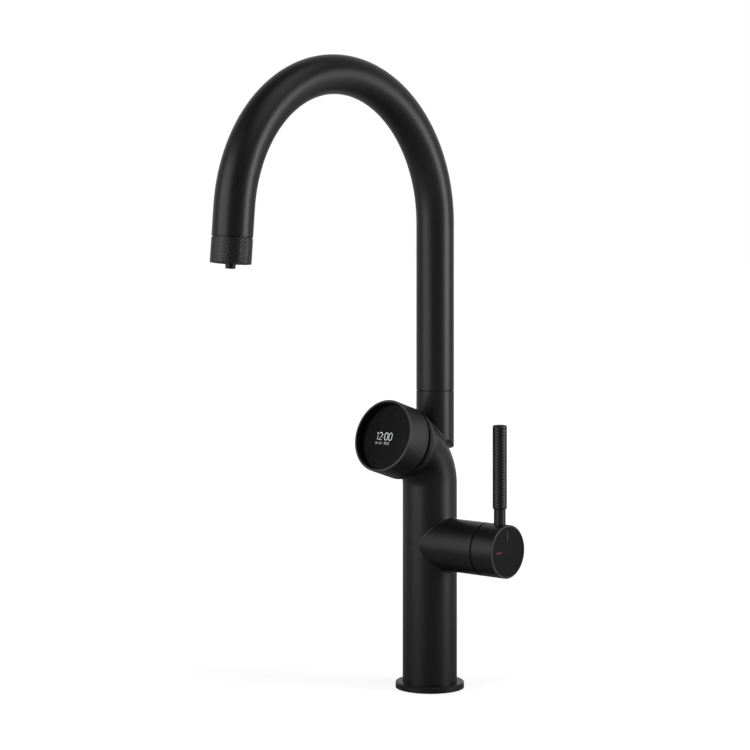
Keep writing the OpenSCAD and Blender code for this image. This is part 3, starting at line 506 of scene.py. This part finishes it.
def add_casting(voxel=0.7, passes=6):
    """Column, elbow, stub and branch as one smooth skin that is drawn onto the casting's field."""
    points, faces = casting_blank()
    mesh = bpy.data.meshes.new("blank")
    mesh.from_pydata([tuple(p) for p in points], [], faces)
    blank = bpy.data.objects.new("blank", mesh)
    bpy.context.collection.objects.link(blank)
    remesh = blank.modifiers.new("remesh", "REMESH")
    remesh.mode = "VOXEL"
    remesh.voxel_size = voxel
    dense = evaluated_mesh(blank)

    p = vertex_places(dense)
    for _ in range(passes):
        p = p - casting_field(p)[:, None] * gradient(casting_field, p)
    dense.vertices.foreach_set("co", p.ravel())

    cuts = [(Z * flange_h, -Z)] + [(rim.at - rim.out * rim.bevel, rim.out) for rim in rims]
    bm = bmesh.new()
    bm.from_mesh(dense)
    for at, out in cuts:
        bmesh.ops.bisect_plane(
            bm, geom=bm.verts[:] + bm.edges[:] + bm.faces[:], dist=1e-5,
            plane_co=tuple(at), plane_no=tuple(out), clear_outer=True,
        )
    bm.to_mesh(dense)
    bm.free()
    p = vertex_places(dense)
    faces = [tuple(face.vertices) for face in dense.polygons]
    return p, faces, gradient(casting_field, p)


def rim_rings(rim, bore=3.0, count=128, steps=5):
    """Rings of a rounded rim, its end face and the start of its bore, with their normals."""
    rings, normals = [], []
    side = directions(rim.u, rim.v, count)
    for i in range(steps + 1):
        a = math.pi / 2 * i / steps
        back = rim.out * rim.bevel * (1 - math.sin(a))
        rings.append(rim.at - back + side * (rim.r - rim.bevel * (1 - math.cos(a))))
        normals.append(side * math.cos(a) + rim.out * math.sin(a))
    inner = rim.at + side * rim.inner_r
    rings += [inner, inner, inner - rim.out * bore]
    normals += [np.tile(rim.out, (count, 1)), -side, -side]
    return rings, normals


def add_column_shell():
    """The casting's skin and its rims as one piece."""
    points, faces, normals = add_casting()
    skins, skin_normals = [(points, faces)], [normals]
    for rim in rims:
        rings, ring_normals = rim_rings(rim)
        skins.append(loft(rings))
        skin_normals += ring_normals
    points, faces = merged(skins)
    normals = np.concatenate(skin_normals)
    shell = mesh_object("column_shell", points, faces, "matte_black", "tap_body", normals)
    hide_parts("column_body")


# Turned and knurled pieces
def rounded(outline, steps=5):
    """Outline of (radius, along, rounding) corners with an arc in each corner that has a rounding."""
    points = []
    for i, (r, s, rounding) in enumerate(outline):
        corner = np.array([r, s])
        if rounding == 0:
            points.append(corner)
            continue
        before = unit(np.array(outline[i - 1][:2]) - corner)
        after = unit(np.array(outline[(i + 1) % len(outline)][:2]) - corner)
        half = math.acos(np.clip(before @ after, -1, 1)) / 2
        centre = corner + unit(before + after) * rounding / math.sin(half)
        first = corner + before * rounding / math.tan(half)
        last = corner + after * rounding / math.tan(half)
        for j in range(steps + 1):
            toward = unit((first - centre) * (1 - j / steps) + (last - centre) * j / steps)
            points.append(centre + toward * rounding)
    return points


def add_turned(name, outline, axis, slot, body, count=192):
    """A piece turned about an axis, from a closed outline with rounded corners."""
    side = directions(axis.u, axis.v, count)
    rings = [axis.origin + axis.along * s + side * r for r, s in rounded(outline)]
    rings.append(rings[0])
    made = mesh_object(name, *loft(rings), slot, body)
    made.data.set_sharp_from_angle(angle=math.radians(35))
    return made


def add_ring():
    """The knob's ring: a rounded front rim with a painted highlight, and a side with a fine knurl."""
    outline = [
        (mouth_r, -ring_len, 0.6),
        (mouth_r, 0, 0.9),
        (lip_r, 0, 0.35),
        (lip_r, -lip_depth, 0),
        (recess_r, -lip_depth, 0),
        (recess_r, -land_start, 0),
        (land_r, -land_start, 0),
        (land_r, -land_end, 0),
        (skirt_r, -land_end, 0),
        (skirt_r, -ring_len, 0),
    ]
    made = add_turned("ring_shell", outline, knob_axis, "matte_black", "knob_dial")
    made.data.materials[0] = ring_black
    made.data.materials.append(rim_painted_highlight)
    # Faces of the front rim get the paler black: a painted highlight
    for face in made.data.polygons:
        from_front = np.array(face.center) / MM - knob_axis.origin
        depth = -from_front @ knob_out
        radius = np.linalg.norm(from_front + depth * knob_out)
        if depth < ring_highlight_depth and radius > lip_r:
            face.material_index = 1
    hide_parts("knob_ring")


def add_knurled(name, node, body, axis, r, bore_r, foot_r, length, around, row, depth, rim):
    """A sleeve of flat diamonds between a cone at its start and a narrow rim at its end."""
    count = 2 * around
    knurled_len = length - 2 * rim
    levels = 2 * round(knurled_len / row)
    side = directions(axis.u, axis.v, count)
    end = axis.origin + axis.along * length
    rings = [axis.origin + side * bore_r, axis.origin + side * foot_r]
    for k in range(levels + 1):
        radius = r - depth * ((np.arange(count) + k) % 2)
        rings.append(axis.origin + axis.along * (rim + knurled_len * k / levels) + side * radius[:, None])
    rings += [end + side * (r - depth - rim / 2), end + side * bore_r]
    faces = []
    for i in range(len(rings)):
        low = i * count
        high = (i + 1) % len(rings) * count
        for j in range(count):
            after = (j + 1) % count
            a, b, c, d = low + j, low + after, high + after, high + j
            # The fold joins the two raised corners
            faces += [(a, b, d), (b, c, d)] if (i + j) % 2 else [(a, b, c), (a, c, d)]
    made = mesh_object(name, np.concatenate(rings), faces, "knurled_black", body)
    made.data.shade_flat()
    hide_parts(node)


def add_knurls():
    """The knurled collar at the spout's end and the knurled grip of the lever."""
    tail = np.array([0, -math.sin(arch_turn), math.cos(arch_turn)])
    radial = np.array([0, math.cos(arch_turn), math.sin(arch_turn)])
    arch_end = np.array([0, spout_y - arch_r, arch_z]) + radial * arch_r
    add_knurled(
        "collar_sleeve", "aerator_collar", "spout", Axis(arch_end + tail * collar_start, tail, X, radial),
        r=collar_r, bore_r=collar_bore_r, foot_r=collar_r - 1.0, length=collar_len,
        around=32, row=2.65, depth=0.25, rim=0.4,
    )
    add_knurled(
        "grip_sleeve", "lever_grip", "handle", Axis(np.array([lever_x, 0, grip_foot]), Z, X, Y),
        r=grip_r, bore_r=neck_r - 1, foot_r=neck_r, length=grip_len,
        around=10, row=2.6, depth=0.19, rim=grip_rim,
    )


# Display
def arc(cx, cy, rx, ry, start, end, steps=12):
    """Points of an ellipse's arc; angles in degrees, counted from +X towards +Y."""
    angles = [math.radians(start + (end - start) * i / steps) for i in range(steps + 1)]
    return [(cx + rx * math.cos(a), cy + ry * math.sin(a)) for a in angles]


# Widths and strokes of the characters, in a box that is one high
glyphs = {
    "0": (0.52, [
        arc(0.26, 0.74, 0.26, 0.26, 0, 180) + arc(0.26, 0.26, 0.26, 0.26, 180, 360) + [(0.52, 0.74)],
    ]),
    "1": (0.24, [[(0.0, 0.8), (0.22, 1.0), (0.22, 0.0)]]),
    "2": (0.52, [arc(0.26, 0.74, 0.25, 0.26, 165, -35) + [(0.0, 0.0), (0.52, 0.0)]]),
    "3": (0.5, [arc(0.24, 0.76, 0.23, 0.24, 150, -90), arc(0.24, 0.26, 0.26, 0.26, 90, -150)]),
    "6": (0.52, [[(0.44, 1.0)] + arc(0.26, 0.3, 0.26, 0.3, 150, 510, 20)]),
    ":": (0.04, [[(0.0, 0.24), (0.0, 0.3)], [(0.0, 0.66), (0.0, 0.72)]]),
    "J": (0.4, [[(0.4, 1.0), (0.4, 0.25)] + arc(0.2, 0.22, 0.2, 0.22, 0, -160)]),
    "A": (0.56, [[(0.0, 0.0), (0.28, 1.0), (0.56, 0.0)], [(0.1, 0.34), (0.46, 0.34)]]),
    "N": (0.5, [[(0.0, 0.0), (0.0, 1.0), (0.5, 0.0), (0.5, 1.0)]]),
    ".": (0.04, [[(0.0, 0.0), (0.02, 0.03)]]),
    " ": (0.3, []),
}


def lit(name, level):
    """A pale surface that glows evenly."""
    made, tree, shader = material(name)
    shader.inputs["Base Color"].default_value = (0.6, 0.6, 0.6, 1)
    shader.inputs["Roughness"].default_value = 0.4
    shader.inputs["Emission Color"].default_value = (0.93, 0.97, 1.0, 1)
    grain = noise(tree, coordinates(tree), 900)
    glow = mapped(tree, grain, (0.3, 0.7), (level * 0.95, level * 1.05))
    tree.links.new(glow, shader.inputs["Emission Strength"])
    return made


def text_curve(name, text, height, gap, stroke):
    """A line of characters as round strokes about its centre, in millimetres."""
    curve = bpy.data.curves.new(name, "CURVE")
    curve.dimensions = "3D"
    curve.bevel_depth = stroke / 2
    curve.bevel_resolution = 2
    curve.use_fill_caps = True
    width = sum(glyphs[c][0] * height + gap for c in text) - gap
    x = -width / 2
    for c in text:
        advance, strokes = glyphs[c]
        for stroke_points in strokes:
            line = curve.splines.new("POLY")
            line.points.add(len(stroke_points) - 1)
            for point, (px, py) in zip(line.points, stroke_points):
                point.co = (x + px * height, (py - 0.5) * height, 0, 1)
        x += advance * height + gap
    return curve


def add_text(name, text, centre, height, gap, stroke, look):
    """Flat strokes that lie on the glass, with their centre at that place on it."""
    shape = bpy.data.objects.new(name, text_curve(name, text, height, gap, stroke))
    bpy.context.collection.objects.link(shape)
    mesh = evaluated_mesh(shape)
    flatness = 0.05
    place = np.eye(4)
    place[:3, 0] = X
    place[:3, 1] = knob_up
    place[:3, 2] = knob_out * flatness
    place[:3, 3] = knob_point(*centre, glass_depth)
    mesh.transform(Matrix(place.tolist()))
    mesh.transform(Matrix.Scale(MM, 4))
    mesh.materials.clear()
    mesh.materials.append(look)
    made = bpy.data.objects.new(name, mesh)
    bpy.context.collection.objects.link(made)
    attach(made, "knob_plunger")


def add_display():
    """The time and, below it, the date."""
    add_text("display_time", "12:00", centre=(-3.45, 0.66), height=6.2, gap=1.35, stroke=0.5,
             look=lit("time_glow", 0.45))
    add_text("display_date", "16 JAN. 2023", centre=(-4.5, -5.2), height=1.9, gap=0.5, stroke=0.24,
             look=lit("date_glow", 0.27))


# Studio
def add_camera():
    toward = Vector((math.sin(camera_azimuth), -math.cos(camera_azimuth), 0))
    right = Vector((math.cos(camera_azimuth), math.sin(camera_azimuth), 0))
    up = Vector((0, 0, 1))
    data = bpy.data.cameras.new("camera")
    data.sensor_width = 36
    data.lens = focal_px / image_px * data.sensor_width
    data.shift_y = (horizon_px - image_px / 2) / image_px
    data.clip_end = 100
    camera = bpy.data.objects.new("camera", data)
    camera.location = (toward * camera_distance - right * camera_aside + up * camera_height) * MM
    camera.rotation_euler = (math.pi / 2, 0, camera_azimuth)
    bpy.context.collection.objects.link(camera)
    bpy.context.scene.camera = camera


def add_floor():
    """Pale floor that keeps a soft shadow near the tap and runs into the white background."""
    bpy.ops.mesh.primitive_plane_add(size=60, location=(0, 0, 0))
    floor = bpy.context.active_object
    floor.name = "floor"
    made, tree, shader = material("floor")
    shader.inputs["Base Color"].default_value = (0.34, 0.34, 0.34, 1)
    shader.inputs["Roughness"].default_value = 0.9
    shader.inputs["Specular IOR Level"].default_value = 0.1
    shader.inputs["Emission Color"].default_value = (1, 1, 1, 1)
    length = tree.nodes.new("ShaderNodeVectorMath")
    length.operation = "LENGTH"
    tree.links.new(coordinates(tree), length.inputs[0])
    metres = length.outputs["Value"]
    far = mapped(tree, metres, (0.1, 1.2), (floor_near, 1.0), smooth=True)
    path = tree.nodes.new("ShaderNodeLightPath")
    seen = maths(tree, "MULTIPLY", far, path.outputs["Is Camera Ray"])
    far_glow = mapped(tree, far, (floor_near, 1.0), (0.0, floor_mirrored))
    mirrored = maths(tree, "MULTIPLY", far_glow, path.outputs["Is Glossy Ray"])
    tree.links.new(maths(tree, "MAXIMUM", seen, mirrored), shader.inputs["Emission Strength"])
    floor.data.materials.append(made)


def add_world():
    """White where the camera looks past the tap; elsewhere a dim room that is pale low behind the tap."""
    world = bpy.data.worlds.new("world")
    bpy.context.scene.world = world
    world.use_nodes = True
    tree = world.node_tree
    tree.nodes.clear()
    behind = tree.nodes.new("ShaderNodeVectorMath")
    behind.operation = "DOT_PRODUCT"
    tree.links.new(tree.nodes.new("ShaderNodeTexCoord").outputs["Generated"], behind.inputs[0])
    behind.inputs[1].default_value = (-math.sin(camera_azimuth), math.cos(camera_azimuth), -room_lean)
    room = mapped(tree, behind.outputs["Value"], (-0.2, 0.9), (room_dim, room_pale), smooth=True)
    path = tree.nodes.new("ShaderNodeLightPath")
    seen = maths(tree, "MAXIMUM", path.outputs["Is Camera Ray"], path.outputs["Is Transmission Ray"])
    back = tree.nodes.new("ShaderNodeBackground")
    back.inputs["Color"].default_value = (1, 1, 1, 1)
    tree.links.new(maths(tree, "MAXIMUM", seen, room), back.inputs["Strength"])
    out = tree.nodes.new("ShaderNodeOutputWorld")
    tree.links.new(back.outputs[0], out.inputs["Surface"])


def add_softbox(name, azimuth, height, distance, width, tall, power):
    """An area light aimed at the tap, in metres and watts, at degrees to the right of the camera."""
    aim = Vector((0, 0, 0.3))
    angle = camera_azimuth + math.radians(azimuth)
    place = Vector((math.sin(angle) * distance, -math.cos(angle) * distance, height))
    data = bpy.data.lights.new(name, "AREA")
    data.shape = "RECTANGLE"
    data.size = width
    data.size_y = tall
    data.energy = power
    lamp = bpy.data.objects.new(name, data)
    lamp.location = place
    lamp.rotation_euler = (aim - place).to_track_quat("-Z", "Y").to_euler()
    bpy.context.collection.objects.link(lamp)


def add_studio():
    """Floor, background, two side lights, a top light and the camera."""
    add_floor()
    add_world()
    add_softbox("left_box", azimuth=-57, height=0.6, distance=1.6, width=1.4, tall=1.6, power=22)
    add_softbox("right_box", azimuth=74, height=0.5, distance=1.6, width=0.6, tall=1.0, power=18)
    add_softbox("top_box", azimuth=45, height=1.9, distance=0.9, width=1.4, tall=1.4, power=9)
    add_camera()
    bpy.context.scene.view_settings.view_transform = "Standard"


dress_frame()
add_column_shell()
add_ring()
add_knurls()
add_display()
add_studio()
